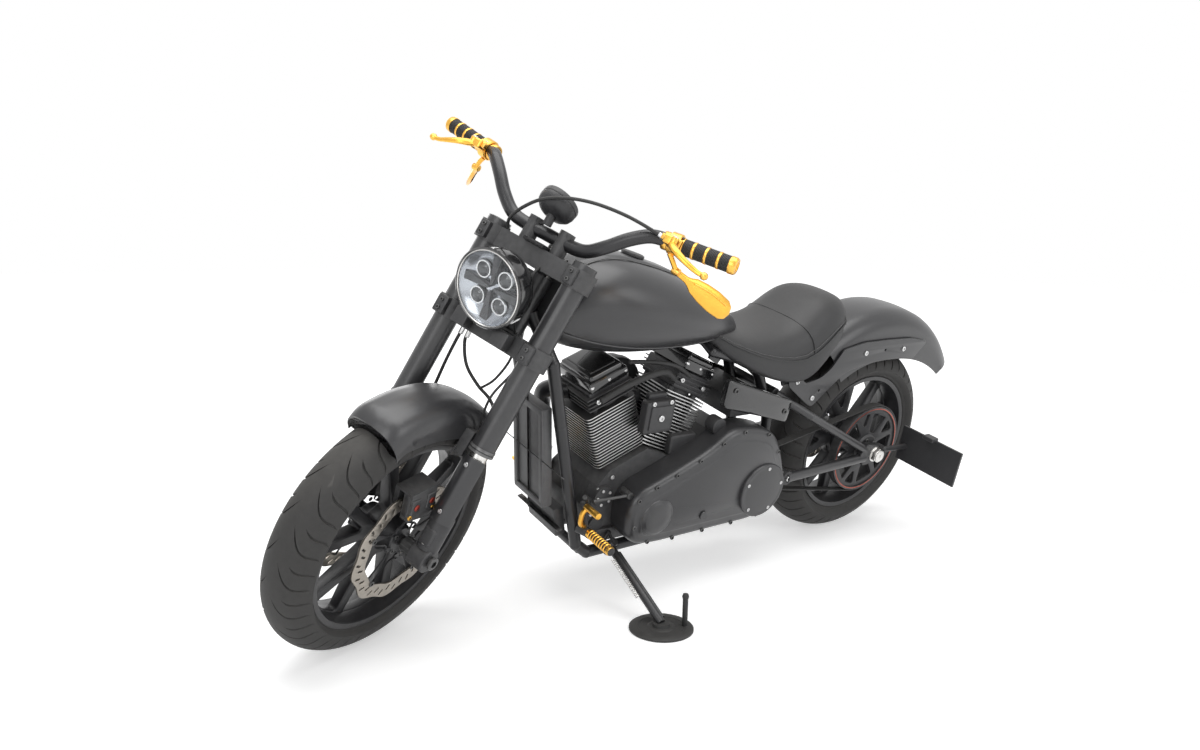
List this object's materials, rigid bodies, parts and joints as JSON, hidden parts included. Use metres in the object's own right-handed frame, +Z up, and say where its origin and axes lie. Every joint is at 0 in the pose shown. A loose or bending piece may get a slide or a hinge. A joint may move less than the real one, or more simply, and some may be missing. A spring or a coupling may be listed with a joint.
{
  "type": "cruiser motorcycle",
  "caption": "Cruiser motorcycle with a V-twin engine, upside-down fork, solo seat and bobbed fenders, parked leaning on its side stand.",
  "frame": {"origin": "on the floor, under the centre of the parked motorcycle's bounding box", "axes": "+X towards the front wheel, +Y to the rider's left, the side that it leans to, +Z up"},
  "size_m": [2.2998, 0.8281, 1.2616],
  "materials": {
    "black_paint": "satin black paint",
    "satin_paint": "matte dark grey paint",
    "alloy_black": "black powder coat on cast alloy",
    "tyre": "worn rubber",
    "rubber": "matte rubber",
    "steel": "brushed steel",
    "fins": "black alloy with cut fin edges",
    "gold": "gold anodised alloy",
    "leather": "black seat cover",
    "gloss": "gloss black",
    "plastic": "matte black plastic"
  },
  "bodies": {
    "chassis": {"main_frame": "black_paint", "swingarm": "satin_paint", "rear_axle": "steel", "fender_struts": "satin_paint", "rear_fender": "satin_paint", "seat": "leather", "fuel_tank": "satin_paint", "tank_console": "satin_paint", "engine_case": "alloy_black", "cylinders": "fins", "rocker_covers": "gloss", "primary_cover": "satin_paint", "air_cleaner": "alloy_black", "exhaust": "black_paint", "oil_cooler": "plastic", "voltage_regulator": "alloy_black", "side_covers": "gloss", "drive_belt": "rubber", "licence_plate": "plastic", "foot_controls": "gold", "rear_caliper": "alloy_black"},
    "steering": {"lower_clamp": "alloy_black", "upper_clamp": "alloy_black", "fork_tubes": "black_paint", "fork_legs": "steel", "fork_guards": "satin_paint", "front_axle": "steel", "front_fender": "satin_paint", "front_calipers": "alloy_black", "handlebar": "black_paint", "bar_risers": "alloy_black", "grips": "rubber", "hand_controls": "gold", "mirrors": "gold", "headlight": "gloss", "speedometer": "plastic", "brake_hoses": "rubber"},
    "front_wheel": {"front_tyre": "tyre", "front_rim": "alloy_black", "front_discs": "steel"},
    "rear_wheel": {"rear_tyre": "tyre", "rear_rim": "alloy_black", "rear_pulley": "alloy_black", "rear_disc": "steel"},
    "side_stand_leg": {"side_stand": "black_paint"}
  },
  "joints": [
    {"name": "steering_turn", "type": "hinge", "parent": "chassis", "child": "steering", "pos_m": [0.79484, -0.14814, 0.28383], "axis": [-0.443, 0.2017, 0.8735], "range_deg": [-48, 0]},
    {"name": "front_wheel_spin", "type": "hinge", "parent": "steering", "child": "front_wheel", "pos_m": [0.84562, -0.11792, 0.30261], "axis": [-0.3646, 0.8496, -0.3811], "continuous": true},
    {"name": "rear_wheel_spin", "type": "hinge", "parent": "chassis", "child": "rear_wheel", "pos_m": [-0.77955, -0.13977, 0.32008], "axis": [0, 0.9744, -0.225], "continuous": true},
    {"name": "side_stand_fold", "type": "hinge", "parent": "chassis", "child": "side_stand_leg", "pos_m": [0.23395, -0.04689, 0.15335], "axis": [-0.057, 0.597, 0.8002], "range_deg": [0, 65]}
  ]
}
